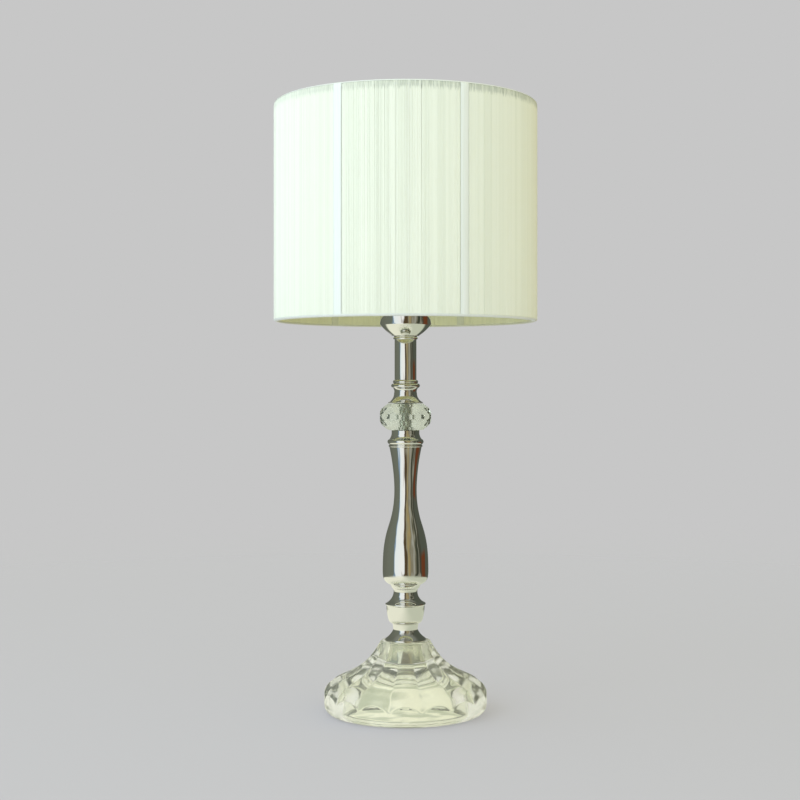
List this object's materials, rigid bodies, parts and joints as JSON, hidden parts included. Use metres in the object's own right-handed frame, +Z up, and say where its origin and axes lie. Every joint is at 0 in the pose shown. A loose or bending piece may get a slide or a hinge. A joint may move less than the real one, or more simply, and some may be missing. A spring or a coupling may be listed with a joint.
{
  "type": "table lamp",
  "caption": "Candlestick table lamp: fluted clear glass foot, turned bright metal stem with a faceted crystal, and a drum shade wound with string.",
  "frame": {"origin": "on the table, on the stem's axis, under the middle of the glass foot", "axes": "+Z up along the stem, -Y towards the viewer, +X to the viewer's right; the cord notch is at +Y"},
  "size_m": [0.25, 0.25, 0.576],
  "materials": {
    "foot_glass": "clear pressed glass, slightly green",
    "crystal": "clear, cut and polished",
    "opal_glass": "opal",
    "chrome": "mirror polish",
    "zinc_steel": "zinc plated",
    "shell_brass": "satin",
    "cap_aluminium": "satin",
    "white_plastic": "moulded, semi-gloss",
    "ceramic": "glazed ceramic",
    "black_insulator": "fused black glass",
    "clear_gasket": "translucent soft plastic",
    "white_wire": "white coated wire",
    "string": "ivory threads wound side by side",
    "ribbon": "smooth woven ribbon"
  },
  "bodies": {
    "stand": {"base_glass": "foot_glass", "foot_gasket": "clear_gasket", "cone_gasket": "clear_gasket", "inner_cone": "chrome", "base_washer": "zinc_steel", "base_nut": "zinc_steel", "threaded_pipe": "zinc_steel", "pipe_bushing": "white_plastic", "base_ferrule": "chrome", "knob_link": "chrome", "baluster": "chrome", "crystal_collar": "chrome", "crystal_washers": "clear_gasket", "crystal": "crystal", "spool": "chrome", "neck_tube": "chrome", "neck_ring": "chrome", "socket_cup": "chrome", "cup_nut": "zinc_steel", "holder_cap": "white_plastic", "holder_sleeve": "white_plastic", "holder_core": "ceramic", "lamp_shell": "shell_brass", "centre_contact": "shell_brass", "terminal_screws": "zinc_steel"},
    "clamp_ring": {"shade_ring": "white_plastic"},
    "bulb": {"bulb_glass": "opal_glass", "bulb_cap": "cap_aluminium", "bulb_insulator": "black_insulator", "bulb_tip": "zinc_steel"},
    "shade": {"carrier_ring": "white_wire", "carrier_arms": "white_wire", "top_ring": "white_wire", "bottom_ring": "white_wire", "struts": "ribbon", "string_panels": "string", "top_trim": "ribbon", "bottom_trim": "ribbon"}
  },
  "joints": [
    {"name": "shade_turn", "type": "hinge", "parent": "stand", "child": "shade", "pos_m": [0, 0, 0.398], "axis": [0, 0, 1], "continuous": true},
    {"name": "ring_unscrew", "type": "slide", "parent": "stand", "child": "clamp_ring", "axis": [0, 0, 1], "range_m": [0, 0.022]},
    {"name": "bulb_lift", "type": "slide", "parent": "stand", "child": "bulb", "axis": [0, 0, 1], "range_m": [0, 0.19]}
  ]
}
